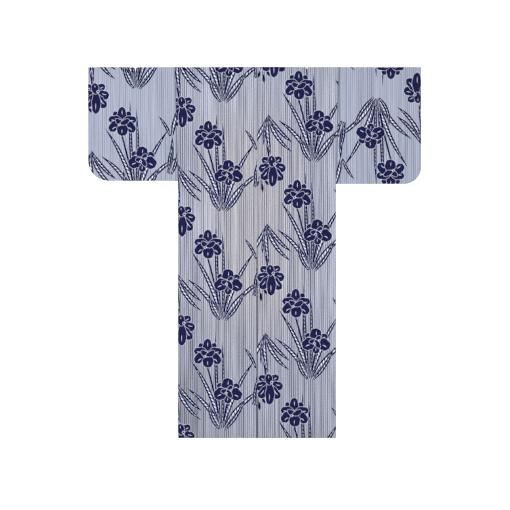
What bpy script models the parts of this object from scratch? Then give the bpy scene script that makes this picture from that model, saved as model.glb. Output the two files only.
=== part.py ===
"""Cotton yukata robe, spread flat on a surface with its back up.

Units are metres. +X runs to the right of the spread garment, +Y to the neck and +Z
up. The pieces are drawn in pattern places: x = 0 is the centre back seam, y = 0 the
hem and z = 0 the surface. One empty then sets the origin under the middle of the
garment's box. "Out" is the distance from the centre back seam toward a piece's own
side, so both sides share their formulas.
"""

import math

import bmesh
import bpy

# Lengths up the garment
LENGTH = 1.500                # hem to shoulder fold
FRONT_HEM_RISE = 0.002        # the front hems stop this far short of the back hem
OKUMI_TIP_DROP = 0.230        # shoulder fold to the top of the overlap panel
COLLAR_END = 0.730            # hem to the lower end of the collar
SLEEVE_DROP = {"left": 0.4605, "right": 0.473}

# Widths
SHOULDER_HALF = 0.332         # centre back seam to the armhole seam, at the fold
BACK_HALF = 0.3195            # centre back seam to the side seam
SLEEVE_REACH = {"left": 0.683, "right": 0.663}
FRONT_WIDTH = 0.260           # side seam to the overlap panel's seam
OVERLAP = 0.091               # how far the front edge passes the centre
NECK_HALF = 0.090             # half the neck slit, along the fold
COLLAR_WIDTH_NECK = 0.055
COLLAR_WIDTH_END = 0.075
SLEEVE_CORNER = {"left": 0.084, "right": 0.069}   # radius of the outer lower corner
OKUMI_TIP_CUT = 0.006         # the overlap panel's sharp top is cut off by this much

# The collar's way down from the neck corner
COLLAR_SETTLE_FROM = LENGTH - 0.075
COLLAR_SETTLE_TO = LENGTH - 0.190

# Heights of the layers
CLOTH = 0.0011
COLLAR_THICK = 0.0016         # the band is folded, so it is thicker
SEAM_GAP = 0.0003
INNER_FRONT = COLLAR_THICK + SEAM_GAP
BACK_OVER_SIDES = CLOTH + SEAM_GAP
BACK_OVER_MIDDLE = INNER_FRONT + COLLAR_THICK + SEAM_GAP
PLATEAU = 0.170               # the overlapping fronts reach this far out
LOW_FROM = 0.200              # past this the upper layers lie on the lower ones

# Colours, linear
COTTON = (0.39, 0.40, 0.49, 1.0)
COTTON_ROUGHNESS = 0.9

SIDES = {"left": -1.0, "right": 1.0}
OUTERMOST = "left"            # the left front lies over the right one when worn
FOLD_STEPS = 6
FLAT_END = LENGTH - 0.010     # the flat layers end here and the shoulder fold starts
SLOPE_SPAN = 0.001            # half the length over which a slope is measured


def clear_scene():
    for item in list(bpy.data.objects):
        bpy.data.objects.remove(item, do_unlink=True)


def cotton_material(name):
    material = bpy.data.materials.new(name)
    material.use_nodes = True
    shader = material.node_tree.nodes["Principled BSDF"]
    shader.inputs["Base Color"].default_value = COTTON
    shader.inputs["Roughness"].default_value = COTTON_ROUGHNESS
    shader.inputs["Metallic"].default_value = 0.0
    return material


def spread(start, end, count):
    """count + 1 evenly spaced values from start to end."""
    return [start + (end - start) * step / count for step in range(count + 1)]


def ease(value):
    """A soft step from 0 to 1."""
    value = min(max(value, 0.0), 1.0)
    return value * value * (3.0 - 2.0 * value)


def over_fronts(out):
    """1 where the overlapping fronts lie below, falling to 0 toward the side seam."""
    return ease((LOW_FROM - abs(out)) / (LOW_FROM - PLATEAU))


def front_height(side, out):
    """Underside of a front panel: the inner front climbs over the outermost one."""
    if side == OUTERMOST:
        return 0.0
    return INNER_FRONT * over_fronts(out)


def back_height(out):
    """Underside of a back panel."""
    return BACK_OVER_SIDES + (BACK_OVER_MIDDLE - BACK_OVER_SIDES) * over_fronts(out)


def side_edge(side, y):
    """The armhole seam slants in from the shoulder; below it the side seam is straight."""
    along = min(max((LENGTH - y) / SLEEVE_DROP[side], 0.0), 1.0)
    return SHOULDER_HALF + (BACK_HALF - SHOULDER_HALF) * along


def collar_seam(y):
    """Where the collar is sewn on: one curve through neck corner, tip and lower end."""
    tip = LENGTH - OKUMI_TIP_DROP
    tip_out = BACK_HALF - FRONT_WIDTH
    upper_slope = (NECK_HALF - tip_out) / (LENGTH - tip)
    lower_slope = (tip_out + OVERLAP) / (tip - COLLAR_END)
    bend = (upper_slope - lower_slope) / (LENGTH - COLLAR_END)
    return NECK_HALF + upper_slope * (y - LENGTH) + bend * (y - LENGTH) * (y - tip)


def front_inner_edge(y):
    """Edge of the front panel: the overlap panel's seam, then the collar seam."""
    return max(BACK_HALF - FRONT_WIDTH, collar_seam(y)) + SEAM_GAP / 2


def wall(name, outer, inner, is_cloth):
    """Close two grids of points into one wall where is_cloth(row, column) holds."""
    mesh = bmesh.new()
    skins = [[[mesh.verts.new(point) for point in row] for row in grid]
             for grid in (outer, inner)]
    rows = len(outer) - 1
    columns = len(outer[0]) - 1

    def covered(row, column):
        return 0 <= row < rows and 0 <= column < columns and is_cloth(row, column)

    for row in range(rows):
        for column in range(columns):
            if not covered(row, column):
                continue
            corners = [(row, column), (row, column + 1), (row + 1, column + 1), (row + 1, column)]
            neighbours = [(row - 1, column), (row, column + 1), (row + 1, column), (row, column - 1)]
            for skin in skins:
                mesh.faces.new([skin[a][b] for a, b in corners])
            for edge, neighbour in enumerate(neighbours):
                if covered(*neighbour):
                    continue
                (a, b), (c, d) = corners[edge], corners[(edge + 1) % 4]
                mesh.faces.new([skins[0][a][b], skins[0][c][d], skins[1][c][d], skins[1][a][b]])
    loose = [vertex for vertex in mesh.verts if not vertex.link_faces]
    bmesh.ops.delete(mesh, geom=loose, context="VERTS")
    bmesh.ops.recalc_face_normals(mesh, faces=mesh.faces)
    data = bpy.data.meshes.new(name)
    mesh.to_mesh(data)
    mesh.free()
    data.materials.append(cotton_material(name + "_cotton"))
    piece = bpy.data.objects.new(name, data)
    bpy.context.scene.collection.objects.link(piece)
    return piece


def folded_rows(side, outs_at, front_ys, back_ys, front_at, back_at):
    """Grids of a length of cloth from the front hem, over the shoulder, to the back hem.

    outs_at(y, on_back) gives a row's places across, front_at(out) and back_at(out)
    the undersides of the two layers.
    """
    sign = SIDES[side]
    outer = []
    inner = []
    for y in front_ys:
        outs = outs_at(y, False)
        outer.append([(sign * out, y, front_at(out)) for out in outs])
        inner.append([(sign * out, y, front_at(out) + CLOTH) for out in outs])
    for angle in spread(-math.pi / 2, math.pi / 2, FOLD_STEPS):
        outs = outs_at(LENGTH, angle > 0)
        bends = [[], []]
        for out in outs:
            low = front_at(out)
            radius = (back_at(out) + CLOTH - low) / 2
            for bend, reach in zip(bends, (radius, radius - CLOTH)):
                y = LENGTH - radius + reach * math.cos(angle)
                bend.append((sign * out, y, low + radius + reach * math.sin(angle)))
        outer.append(bends[0])
        inner.append(bends[1])
    for y in back_ys:
        outs = outs_at(y, True)
        outer.append([(sign * out, y, back_at(out) + CLOTH) for out in outs])
        inner.append([(sign * out, y, back_at(out)) for out in outs])
    return outer, inner


def body_panel(side):
    """Back, shoulder fold and front in one length, with the neck slit in the fold."""
    side_steps = 3
    ramp_steps = 4
    middle_steps = 2
    neck_steps = 3
    low_steps = 3
    neckline_steps = 4
    armhole_steps = 3
    side_seam_steps = 5
    slit_chamfer = 0.0005
    shoulder_columns = side_steps + ramp_steps + middle_steps
    sleeve_end = LENGTH - SLEEVE_DROP[side]
    tip = LENGTH - OKUMI_TIP_DROP

    def outs_at(y, on_back):
        inner_end = NECK_HALF if on_back else front_inner_edge(y)
        outs = spread(side_edge(side, y), LOW_FROM, side_steps)
        outs += spread(LOW_FROM, PLATEAU, ramp_steps)[1:]
        outs += spread(PLATEAU, inner_end, middle_steps)[1:]
        outs += spread(NECK_HALF - slit_chamfer, SEAM_GAP / 2, neck_steps)
        return outs

    low_rows = spread(FRONT_HEM_RISE, COLLAR_END, low_steps) + [sleeve_end]
    front_ys = low_rows + spread(tip, FLAT_END, neckline_steps)
    back_ys = spread(FLAT_END, sleeve_end, armhole_steps)
    back_ys += spread(sleeve_end, 0.0, side_seam_steps)[1:]
    outer, inner = folded_rows(
        side, outs_at, front_ys, back_ys,
        lambda out: front_height(side, out), back_height)

    fold_end = len(front_ys) + FOLD_STEPS
    for grid in (outer, inner):
        row = grid[fold_end]
        for column in range(shoulder_columns + 1, len(row)):
            row[column] = (row[column][0], LENGTH, row[column][2])

    def is_cloth(row, column):
        return column < shoulder_columns or row >= fold_end

    return wall("body_" + side, outer, inner, is_cloth)


def sleeve(side):
    """One length folded at the shoulder line; the outer lower corner is rounded."""
    bottom = LENGTH - SLEEVE_DROP[side]
    reach = SLEEVE_REACH[side]
    corner = SLEEVE_CORNER[side]
    across_steps = 5
    corner_steps = 7
    rise_steps = 3

    def outer_end(y):
        into_corner = max(bottom + corner - y, 0.0)
        chord = max(corner ** 2 - into_corner ** 2, 0.0)
        return reach - corner + math.sqrt(chord)

    def outs_at(y, on_back):
        return spread(side_edge(side, y) + SEAM_GAP, outer_end(y), across_steps)

    corner_ys = [bottom + corner * (1.0 - math.sin(angle))
                 for angle in spread(math.pi / 2, 0.0, corner_steps)]
    rise_ys = spread(corner_ys[-1], FLAT_END, rise_steps)[1:]
    up = corner_ys + rise_ys
    outer, inner = folded_rows(
        side, outs_at, up, up[::-1],
        lambda out: 0.0, lambda out: BACK_OVER_SIDES)
    return wall("sleeve_" + side, outer, inner, lambda row, column: True)


def okumi(side):
    """Overlap panel: straight below the collar's end, then cut along the collar seam."""
    sign = SIDES[side]
    seam = BACK_HALF - FRONT_WIDTH - SEAM_GAP / 2
    across_steps = 2
    straight_steps = 3
    slanted_steps = 10
    tip = LENGTH - OKUMI_TIP_DROP - OKUMI_TIP_CUT
    low = front_height(side, seam)
    ys = spread(FRONT_HEM_RISE, COLLAR_END, straight_steps)
    ys += spread(COLLAR_END, tip, slanted_steps)[1:]
    outer = []
    inner = []
    for y in ys:
        free_edge = -OVERLAP if y <= COLLAR_END else collar_seam(y) + SEAM_GAP / 2
        outs = spread(seam, free_edge, across_steps)
        outer.append([(sign * out, y, low) for out in outs])
        inner.append([(sign * out, y, low + CLOTH) for out in outs])
    return wall("okumi_" + side, outer, inner, lambda row, column: True)


def collar_leg(side):
    """Stations down one front: seam point, free point and underside of each."""
    sign = SIDES[side]
    steps = 16
    stations = []
    for y in spread(COLLAR_SETTLE_FROM, COLLAR_END, steps):
        width = COLLAR_WIDTH_NECK + (COLLAR_WIDTH_END - COLLAR_WIDTH_NECK) * ease(
            (LENGTH - y) / (LENGTH - COLLAR_END))
        slope = (collar_seam(y + SLOPE_SPAN) - collar_seam(y - SLOPE_SPAN)) / (2 * SLOPE_SPAN)
        scale = 1.0 / math.hypot(1.0, slope)
        seam_out = collar_seam(y) - SEAM_GAP / 2
        free = (seam_out - width * scale, y + width * slope * scale)
        height = INNER_FRONT
        if side == OUTERMOST:
            down = (y - COLLAR_SETTLE_TO) / (COLLAR_SETTLE_FROM - COLLAR_SETTLE_TO)
            height = INNER_FRONT * ease(down)
        stations.append(((sign * seam_out, y), (sign * free[0], free[1]), height))
    corner_out = NECK_HALF - SEAM_GAP / 2
    corner = ((sign * corner_out, LENGTH - SEAM_GAP),
              (sign * (corner_out - COLLAR_WIDTH_NECK), LENGTH - COLLAR_WIDTH_NECK),
              INNER_FRONT)
    return [corner] + stations


def collar():
    """One band: down the left front, round the neck with mitred corners, down the right."""
    across_steps = 2
    neck_steps = 4
    left = collar_leg("left")
    right = collar_leg("right")
    neck = []
    for along in spread(0.0, 1.0, neck_steps)[1:-1]:
        points = []
        for end in (0, 1):
            start, stop = left[0][end], right[0][end]
            points.append((start[0] + (stop[0] - start[0]) * along, start[1]))
        neck.append((points[0], points[1], INNER_FRONT))
    outer = []
    inner = []
    for seam_point, free_point, height in left[::-1] + neck + right:
        row = [(seam_point[0] + (free_point[0] - seam_point[0]) * along,
                seam_point[1] + (free_point[1] - seam_point[1]) * along)
               for along in spread(0.0, 1.0, across_steps)]
        outer.append([(x, y, height) for x, y in row])
        inner.append([(x, y, height + COLLAR_THICK) for x, y in row])
    return wall("collar", outer, inner, lambda row, column: True)


def build_yukata():
    clear_scene()
    garment = bpy.data.objects.new("garment", None)
    bpy.context.scene.collection.objects.link(garment)
    middle = (SLEEVE_REACH["right"] - SLEEVE_REACH["left"]) / 2
    garment.location = (-middle, -LENGTH / 2, 0.0)
    pieces = [collar()]
    for side in SIDES:
        pieces += [body_panel(side), sleeve(side), okumi(side)]
    for piece in pieces:
        piece.parent = garment


build_yukata()
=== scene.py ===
# %% [markdown]
# # A cotton yukata robe, spread flat with its back up
#
# A yukata is an unlined summer robe. It is cut from one narrow bolt of cotton, about 37 cm wide, in
# straight lengths: two for the body, each running from the back hem over the shoulder to the front
# hem, two for the sleeves, two half widths that widen the fronts, and one for the collar. Nothing
# is shaped by darts, so a robe that is spread out lies almost flat, and this scene is about cloth
# that is flat but not dead flat: soft creases, rolled seam edges, fine stripes and a dyed print.
#
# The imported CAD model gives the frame. Its panels are plain slabs, and each one is replaced here
# by a thin shell of cloth that lies where the slab lies.

# %% Load the frame
import math
import random

import bpy
import numpy as np
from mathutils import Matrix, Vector
from mathutils.geometry import delaunay_2d_cdt


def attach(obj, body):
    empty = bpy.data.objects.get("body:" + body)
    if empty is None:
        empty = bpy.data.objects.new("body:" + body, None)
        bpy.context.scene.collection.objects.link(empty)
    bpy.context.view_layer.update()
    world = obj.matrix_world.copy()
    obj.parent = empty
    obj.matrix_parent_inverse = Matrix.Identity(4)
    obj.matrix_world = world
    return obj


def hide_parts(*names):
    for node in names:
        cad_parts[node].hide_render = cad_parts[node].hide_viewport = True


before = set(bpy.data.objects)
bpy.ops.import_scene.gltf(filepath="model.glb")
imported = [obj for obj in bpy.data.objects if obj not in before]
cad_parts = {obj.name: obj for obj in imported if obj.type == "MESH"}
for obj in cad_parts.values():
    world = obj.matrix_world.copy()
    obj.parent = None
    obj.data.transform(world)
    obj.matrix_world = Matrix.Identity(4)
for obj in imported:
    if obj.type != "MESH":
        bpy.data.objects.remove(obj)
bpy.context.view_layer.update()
print("CAD nodes:", sorted(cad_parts))

# %% [markdown]
# ## Camera
#
# The robe was photographed from straight above, small in a square white picture. A short lens
# would show the sides of the folds, so a long one is used from high up, and the height follows
# from the width of floor that the picture takes in.

# %% Camera
PICTURE_WIDTH = 2.062         # metres of floor across the picture
LENS = 100.0
SENSOR = 36.0
AIM = (0.002, -0.010)

scene = bpy.context.scene
overhead = bpy.data.cameras.new("overhead")
overhead.lens = LENS
overhead.sensor_width = SENSOR
overhead.clip_end = 50.0
camera = bpy.data.objects.new("overhead_camera", overhead)
camera.location = (*AIM, PICTURE_WIDTH * LENS / SENSOR)
scene.collection.objects.link(camera)
scene.camera = camera
print("camera height:", round(camera.location.z, 3))

# %% [markdown]
# ## Shader maths that reads like maths
#
# A node material can be wired by hand in the editor, or in code with one line for each node and
# link. Both hide the formula. Here a small class wraps one socket, and its operators add the Math
# nodes, so a stripe is written as a formula and 1 - mask works too. Every other kind of node comes
# from one method, which sets the node's own settings first and its sockets after them.

# %% Class for sockets
class Strand:
    """One socket of a material; sums, products and the like add Math nodes behind it."""

    def __init__(self, socket):
        self.socket = socket

    @staticmethod
    def node(tree, kind, settings=None, sockets=None, out=0):
        made = tree.nodes.new(kind)
        for name, value in (settings or {}).items():
            setattr(made, name, value)
        for name, value in (sockets or {}).items():
            if isinstance(value, Strand):
                tree.links.new(value.socket, made.inputs[name])
            else:
                made.inputs[name].default_value = value
        return Strand(made.outputs[out])

    def then(self, kind, settings=None, sockets=None, out=0):
        """A node in the same material."""
        return Strand.node(self.socket.id_data, kind, settings, sockets, out)

    def maths(self, operation, *values):
        sockets = dict(enumerate(values))
        return self.then("ShaderNodeMath", {"operation": operation}, sockets)

    def __add__(self, other):
        return self.maths("ADD", self, other)

    __radd__ = __add__

    def __mul__(self, other):
        return self.maths("MULTIPLY", self, other)

    __rmul__ = __mul__

    def __sub__(self, other):
        return self.maths("SUBTRACT", self, other)

    def __rsub__(self, other):
        return self.maths("SUBTRACT", other, self)

    def __truediv__(self, other):
        return self.maths("DIVIDE", self, other)

    def __abs__(self):
        return self.maths("ABSOLUTE", self)

    def whole(self):
        return self.maths("FLOOR", self)

    def part(self):
        return self.maths("FRACT", self)

    def step(self, low, high):
        """0 up to low, 1 from high, and soft between; low may be the larger one."""
        return self.then(
            "ShaderNodeMapRange", {"interpolation_type": "SMOOTHSTEP"},
            {"Value": self, "From Min": low, "From Max": high})

    def pick(self, without, within):
        """The colour without where this mask is 0, and within where it is 1."""
        return self.then(
            "ShaderNodeMix", {"data_type": "RGBA", "clamp_factor": True},
            {0: self, 6: without, 7: within}, out=2)


def attribute(tree, name):
    """The three numbers that the mesh keeps under this name."""
    stored = Strand.node(tree, "ShaderNodeAttribute", {"attribute_name": name}, out=1)
    return apart(stored)


def apart(vector):
    parts = vector.then("ShaderNodeSeparateXYZ", sockets={0: vector}).socket.node
    return [Strand(socket) for socket in parts.outputs]


def vector_of(x, y, z=0.0):
    return x.then("ShaderNodeCombineXYZ", sockets={0: x, 1: y, 2: z})


def patchy(vector, scale, detail=2.0, roughness=0.5):
    """Smooth noise from 0 to 1."""
    return vector.then(
        "ShaderNodeTexNoise", sockets={
            "Vector": vector, "Scale": scale, "Detail": detail, "Roughness": roughness})


def luck(value, salt):
    """A random number from 0 to 1 that stays the same for one whole value."""
    return value.then(
        "ShaderNodeTexWhiteNoise", {"noise_dimensions": "2D"},
        {"Vector": vector_of(value, value * 0.0 + salt)})


def new_material(name):
    """A material with its node tree and its shader node."""
    made = bpy.data.materials.new(name)
    made.use_nodes = True
    return made, made.node_tree, made.node_tree.nodes["Principled BSDF"]


print("socket class ready")

# %% [markdown]
# ## The cotton
#
# The ground is a pinstripe. White and blue-grey warp threads alternate in bands a few millimetres
# wide, and no two bands are equally strong, so the stripes beat and streak along the whole length.
# An image texture would fix the resolution. A formula on the cloth's own coordinates stays sharp,
# and it follows the collar round the neck, because each panel stores how far across and how far
# up the bolt each of its points was cut.
#
# Three things change the colour slowly, and all are painted light: a painted colour cast that is
# bluer toward the sides and greyer in the middle of the back, painted shade that darkens the lower
# part and most the lower left, and painted shadow along the seams. The print is navy, with slightly
# lighter blooms than leaves, and thin lines of undyed cotton round each petal.

# %% Cotton material
STRIPE_PITCH = 8.5            # millimetres between dark stripes
COTTON_PALE = (0.400, 0.408, 0.472, 1.0)
COTTON_SHADE = (0.072, 0.077, 0.112, 1.0)
COTTON_UNDYED = (0.570, 0.590, 0.680, 1.0)
NAVY_BLOOM = (0.0085, 0.0082, 0.0440, 1.0)
NAVY_LEAF = (0.0018, 0.0020, 0.0360, 1.0)
# GREYER, BLUER and SLEEVE_BLUE tint a painted colour cast of the light.
GREYER = (1.04, 1.00, 0.93, 1.0)
BLUER = (0.985, 1.00, 1.02, 1.0)
SLEEVE_BLUE = (0.965, 0.995, 1.035, 1.0)
THIN_DYE = (0.82, 0.82, 0.86, 1.0)
THICK_DYE = (1.2, 1.2, 1.15, 1.0)
CENTRE_SEAM_X = 0.010         # metres from the frame's origin


def tinted(colour, tint, amount=1.0):
    """Multiply a colour by a tint, with a Mix node."""
    return colour.then(
        "ShaderNodeMix", {"data_type": "RGBA", "blend_type": "MULTIPLY"},
        {0: amount, 6: colour, 7: tint}, out=2)


def pinstripes(across, along):
    """How dark the stripes are, from 0 to about 1, at a place on the bolt in millimetres."""
    drift = patchy(vector_of(across * 0.004, along * 0.003), 1.0) - 0.5
    count = (across + drift * 3.0) / STRIPE_PITCH
    number = count.whole()
    from_middle = abs(count.part() - 0.5)
    half = luck(number, 3.0) * 0.13 + 0.10
    line = 1.0 - (from_middle - half).step(0.0, 0.16)
    streak = patchy(vector_of(across * 0.13, along * 0.0025), 1.0).step(0.30, 0.68)
    strength = luck(number, 7.0) * 0.55 + 0.45
    fine = patchy(vector_of(across * 0.27, along * 0.004), 1.0, detail=1.0).step(0.32, 0.68)
    broad = patchy(vector_of(across * 0.030, along * 0.0012), 1.0).step(0.25, 0.75)
    mottle = patchy(vector_of(across * 0.30, along * 0.15), 1.0) - 0.5
    banded = line * strength * (streak * 0.4 + 0.6) * 0.92
    return banded + fine * 0.36 + broad * 0.08 + mottle * 0.55


def cotton_material():
    made, tree, shader = new_material("striped_cotton")
    across, along, edge = attribute(tree, "cloth")
    ink, bare, leaf = attribute(tree, "dye")
    object_place = Strand.node(tree, "ShaderNodeTexCoord", out=3)
    x, y, _ = apart(object_place)

    from_centre = abs(x - CENTRE_SEAM_X)
    on_sleeve = from_centre.step(0.30, 0.36)
    stripes = pinstripes(across, along) * (1.0 - on_sleeve * 0.45) + on_sleeve * 0.16
    ground = stripes.pick(COTTON_PALE, COTTON_SHADE)

    # Painted colour cast of the light: greyer in the middle of the back, bluer toward the sides and
    # on the sleeves.
    middle = 1.0 - abs(x).step(0.06, 0.30)
    upper = 1.0 - abs(y - 0.10).step(0.20, 0.62)
    ground = tinted(ground, (middle * upper).pick(BLUER, GREYER))
    ground = tinted(ground, SLEEVE_BLUE, on_sleeve)
    # Painted shade: darker toward the bottom, and most toward the lower left, where the light falls
    # off.
    low = (y * -1.0).step(-0.10, 0.75)
    lower_left_shade = (x * -1.0).step(-0.10, 0.33) * low
    shade = 1.0 - low * 0.10 - lower_left_shade * 0.16
    # Painted shadow within a few millimetres of the panel edges: a little at every edge, more along
    # the armhole seams, and most along the centre back seam in the lower half of the back.
    seam = 1.0 - edge.step(0.8, 4.2)
    centre_seam_shadow = (1.0 - from_centre.step(0.004, 0.008)) * y.step(0.10, -0.06)
    armhole_shadow = from_centre.step(0.30, 0.31) * (1.0 - from_centre.step(0.336, 0.342))
    armhole_shadow = armhole_shadow * y.step(0.26, 0.30)
    shade = shade * (1.0 - seam * (centre_seam_shadow * 0.74 + armhole_shadow * 0.34 + 0.05))
    ground = tinted(ground, vector_of(shade, shade, shade))

    density = patchy(object_place, 60.0, detail=4.0).step(0.2, 0.8)
    navy = leaf.pick(NAVY_BLOOM, NAVY_LEAF)
    navy = tinted(navy, density.pick(THIN_DYE, THICK_DYE))
    undyed = bare.pick(ground, COTTON_UNDYED)
    colour = ink.pick(undyed, navy)
    tree.links.new(colour.socket, shader.inputs["Base Color"])

    warp = abs((across * 1.35).part() - 0.5)
    weft = abs((along * 1.25).part() - 0.5)
    slub = patchy(vector_of(across * 1.1, along * 0.12), 1.0, detail=3.0)
    threads = warp + weft + slub * 0.8
    fuzz = patchy(object_place, 900.0, detail=3.0)
    roughness = 0.90 - ink * 0.06 + fuzz * 0.06
    tree.links.new(roughness.socket, shader.inputs["Roughness"])
    bump = threads.then(
        "ShaderNodeBump", sockets={
            "Strength": 0.30, "Distance": 0.00025, "Height": threads + fuzz * 0.5})
    tree.links.new(bump.socket, shader.inputs["Normal"])
    shader.inputs["Sheen Weight"].default_value = 0.008
    shader.inputs["Sheen Roughness"].default_value = 0.5
    shader.inputs["Specular IOR Level"].default_value = 0.02
    return made


COTTON = cotton_material()
print("cotton nodes:", len(COTTON.node_tree.nodes))

# %% [markdown]
# ## Curves for the print
#
# The print shows one tall clump of flowers with long leaves, and a further bloom that hangs from
# a peak of leaves. It was dyed through a paper stencil, so it is all flat shapes with clean edges.
# It could be painted as an image or grown by noise. Working out each petal and leaf as an outline
# keeps the edges sharp at any distance, and a real mesh can be cut along them.
#
# Everything is in millimetres from the foot of the clump, with y up the plant. A shape is a tone
# and an outline, and a later shape lies over an earlier one.

# %% Curve helpers
BLOOM, LEAF, BARE = 1, 2, 3
REPEAT = 440.5                # the stencil's height along the bolt
LINE = 6.6                    # width of a leaf's inked edge
EDGE_SHARE = 0.86             # the edge takes at most this share of half the leaf
HOLLOW_FROM = 4.4             # half width from which a leaf is hollow
FULLNESS = 1.58               # of the leaves and stems
RESERVE = 1.0                 # undyed line round a petal
SWELL = 3.2                   # dye creeps this far past a petal's cut edge
HALO = 0.5                    # undyed line round a leaf
HATCH = 15.0                  # distance between the ties of a hollow leaf
THINNEST = 0.25               # half width below which no leaf gets
FLATNESS = 0.50               # outlines may cut a curve's corners by this much
SPAN_STEPS = 5                # straight pieces from one point of a curve to the next


def smooth_line(points, closed=False):
    """Catmull-Rom curve through the points."""
    count = len(points)
    line = []
    for span in range(count if closed else count - 1):
        if closed:
            a, b, c, d = (points[(span + k - 1) % count] for k in range(4))
        else:
            b, c = points[span], points[span + 1]
            a = points[span - 1] if span else (2 * b[0] - c[0], 2 * b[1] - c[1])
            d = points[span + 2] if span + 2 < count else (2 * c[0] - b[0], 2 * c[1] - b[1])
        for step in range(SPAN_STEPS):
            t = step / SPAN_STEPS
            line.append(tuple(
                0.5 * (2 * q + (r - p) * t + (2 * p - 5 * q + 4 * r - s) * t ** 2
                       + (3 * q - p - 3 * r + s) * t ** 3)
                for p, q, r, s in zip(a, b, c, d)))
    if not closed:
        line.append(tuple(points[-1]))
    return line


def sideways(line):
    """Unit vectors square to a line, one at each of its points."""
    sides = []
    for i in range(len(line)):
        a, b = line[max(i - 1, 0)], line[min(i + 1, len(line) - 1)]
        size = math.hypot(b[0] - a[0], b[1] - a[1]) or 1.0
        sides.append((-(b[1] - a[1]) / size, (b[0] - a[0]) / size))
    return sides


def ribbon(line, halves):
    """Outline of a line drawn with the given half widths."""
    sides = sideways(line)
    left = [(p[0] + n[0] * h, p[1] + n[1] * h) for p, n, h in zip(line, sides, halves)]
    right = [(p[0] - n[0] * h, p[1] - n[1] * h) for p, n, h in zip(line, sides, halves)]
    return left + right[::-1]


def shares(line):
    """How far along a line each of its points is, from 0 to 1, and the line's length."""
    lengths = [0.0]
    for a, b in zip(line, line[1:]):
        lengths.append(lengths[-1] + math.hypot(b[0] - a[0], b[1] - a[1]))
    return [value / lengths[-1] for value in lengths], lengths[-1]


def thinned(outline):
    """Drop the points that a straight edge would miss by less than FLATNESS."""
    if len(outline) < 8:
        return outline
    points = outline + outline[:1]
    kept = {0, len(outline) // 2, len(outline)}
    spans = [(0, len(outline) // 2), (len(outline) // 2, len(outline))]
    while spans:
        first, last = spans.pop()
        (ax, ay), (bx, by) = points[first], points[last]
        size = math.hypot(bx - ax, by - ay) or 1e-9
        far, where = 0.0, None
        for i in range(first + 1, last):
            off = abs((points[i][0] - ax) * (by - ay) - (points[i][1] - ay) * (bx - ax)) / size
            if off > far:
                far, where = off, i
        if where is not None and far > FLATNESS:
            kept.add(where)
            spans += [(first, where), (where, last)]
    return [points[i] for i in sorted(kept)[:-1]]


print("curve helpers ready")

# %% [markdown]
# A petal is one swelling outline between its base and its tip. A leaf is more work: the stencil
# gives it two inked edges with slanting ties between them, which held the paper together and left
# a row of small pale windows down the leaf. Where a leaf gets narrow the two edges meet.

# %% Petals and blades
PETAL_STEPS = 14
BLUNT_ROOT = 0.6              # power of the swelling at a petal's root; lower is blunter
RUFFLES = 5                   # half waves along a petal's edge


def petal(base, tip, width, belly=1.0, sharp=1.0, bend=0.0, ruffle=0.0):
    """Outline of a petal. A belly over 1 moves its widest place toward the tip."""
    dx, dy = tip[0] - base[0], tip[1] - base[1]
    size = math.hypot(dx, dy)
    side = (-dy / size, dx / size)
    line = []
    halves = []
    for step in range(PETAL_STEPS + 1):
        t = step / PETAL_STEPS
        off = bend * math.sin(math.pi * t)
        line.append((base[0] + dx * t + side[0] * off, base[1] + dy * t + side[1] * off))
        swell = max(math.sin(math.pi * t ** belly), 0.0)
        power = BLUNT_ROOT if t ** belly < 0.5 else sharp
        wave = 1.0 + ruffle * math.sin(RUFFLES * math.pi * t)
        halves.append(max(width / 2 * swell ** power * wave, 0.05))
    return ribbon(line, halves)


def grown(shape, by):
    """The same outline moved out along its own normals."""
    turned = sum(a[0] * b[1] - b[0] * a[1] for a, b in zip(shape, shape[1:] + shape[:1])) > 0
    by = by if turned else -by
    out = []
    for i, point in enumerate(shape):
        a, b = shape[i - 1], shape[(i + 1) % len(shape)]
        size = math.hypot(b[0] - a[0], b[1] - a[1]) or 1.0
        out.append((point[0] + (b[1] - a[1]) / size * by, point[1] - (b[0] - a[0]) / size * by))
    return out


def inked(outline):
    """A dyed petal with an undyed line round it."""
    dyed = grown(outline, SWELL)
    return [(BARE, grown(dyed, RESERVE)), (BLOOM, dyed)]


def blade(points, stations, hatch):
    """A leaf or stem through points; stations are (share of its length, width)."""
    line = smooth_line(points)
    share, _ = shares(line)
    halves = (np.interp(share, *zip(*stations)) * FULLNESS / 2).tolist()
    shapes = [(BARE, ribbon(line, [max(h, THINNEST) + HALO for h in halves])),
              (LEAF, ribbon(line, [max(h, THINNEST) for h in halves]))]
    hollow = [i for i, h in enumerate(halves) if h > HOLLOW_FROM]
    if len(hollow) < 2:
        return shapes
    core = line[hollow[0]:hollow[-1] + 1]
    inner = [max(h - min(LINE, h * EDGE_SHARE), 0.2) for h in halves[hollow[0]:hollow[-1] + 1]]
    shapes.append((BARE, ribbon(core, inner)))
    if hatch:
        shapes += ties(core, inner, hatch)
    return shapes


def ties(core, inner, hatch):
    """Slanting bars across the pale middle of a leaf, hatch apart."""
    share, length = shares(core)
    sides = sideways(core)
    count = max(int(length / hatch), 1)
    lean = hatch * 0.35
    thick = hatch * 0.20
    xs, ys = zip(*core)
    bars = []
    for tie in range(1, count):
        target = tie / count
        i = min(int(np.searchsorted(share, target, side="right")) - 1, len(core) - 2)
        x = float(np.interp(target, share, xs))
        y = float(np.interp(target, share, ys))
        nx, ny = sides[i]
        reach = inner[i] + 0.3
        bar = []
        for across, shift in ((1, 1), (1, -1), (-1, -1), (-1, 1)):
            move = lean * across + thick * shift
            bar.append((x + nx * reach * across + ny * move, y + ny * reach * across - nx * move))
        bars.append((LEAF, bar))
    return bars


def moved(shapes, dx, dy):
    return [(tone, [(x + dx, y + dy) for x, y in outline]) for tone, outline in shapes]


print("a petal has", len(petal((0, 0), (0, 40), 20)), "points")

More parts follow.
